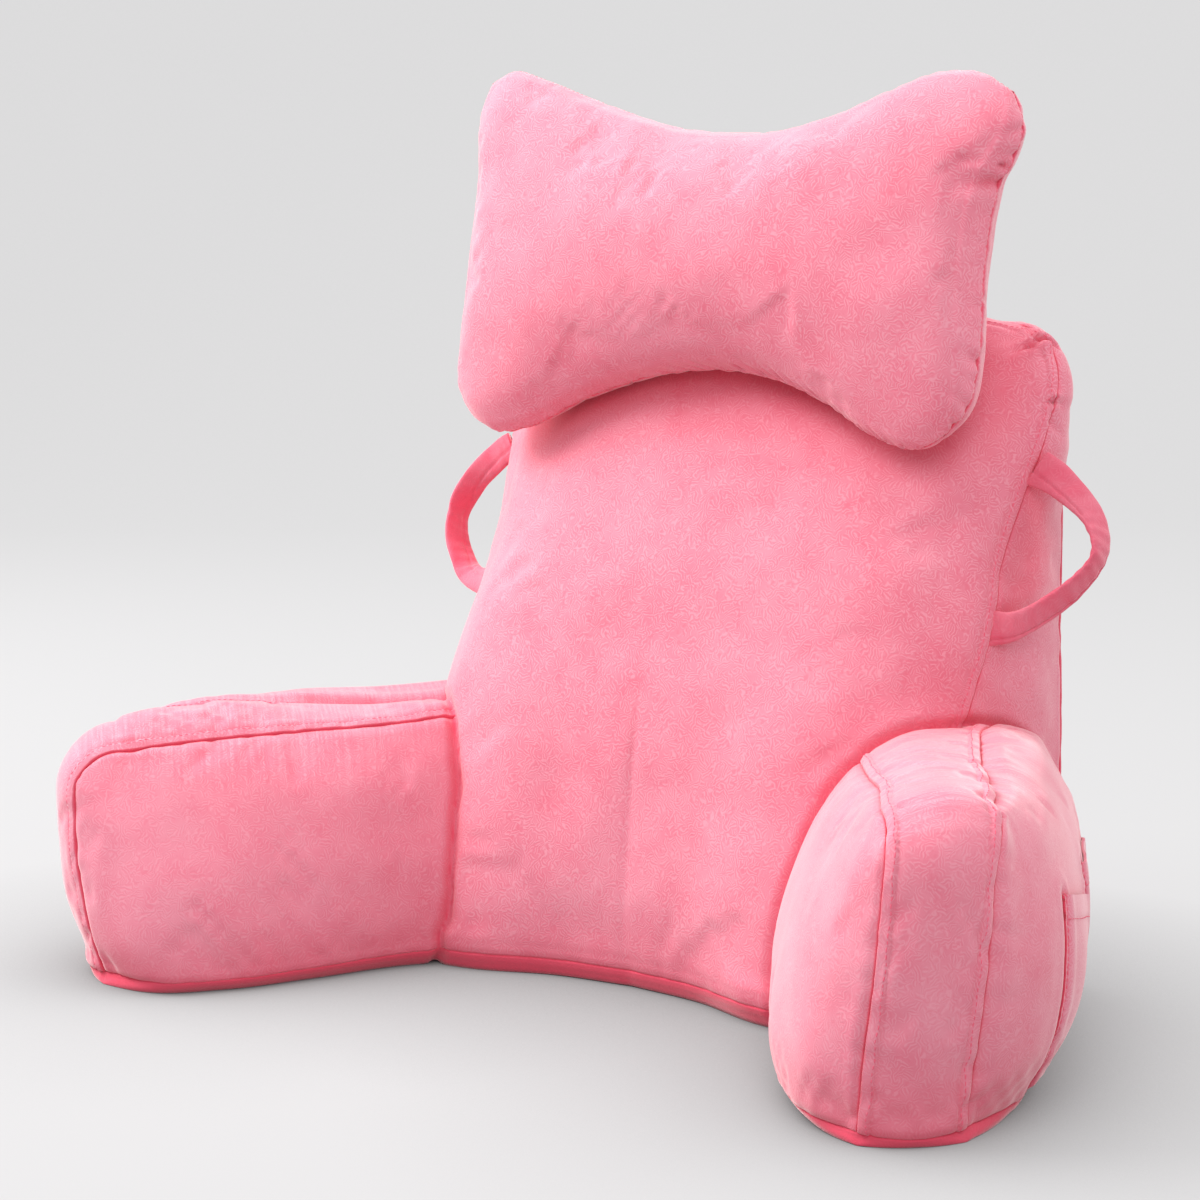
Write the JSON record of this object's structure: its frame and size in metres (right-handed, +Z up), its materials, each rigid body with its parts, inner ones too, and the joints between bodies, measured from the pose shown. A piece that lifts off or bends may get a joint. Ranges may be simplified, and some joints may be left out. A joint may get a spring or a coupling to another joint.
{
  "type": "reading pillow with arms",
  "caption": "Soft backrest pillow with padded arms, a bow-tie neck pillow, strap handles in the side seams and patch pockets on one arm.",
  "frame": {"origin": "middle of the whole object's box, on the floor", "axes": "+Z up, +Y from the lap to the flat back, +X to the right seen from the front"},
  "size_m": [0.8438, 0.4996, 0.7025],
  "materials": {
    "velour": "short-pile pink velour",
    "strap": "folded and stitched pink velour strap"
  },
  "bodies": {
    "root": {"backrest": "velour", "arm_left": "velour", "arm_right": "velour", "neck_pillow": "velour", "handle_left": "strap", "handle_right": "strap", "pocket_small": "velour", "pocket_large": "velour"}
  },
  "joints": []
}
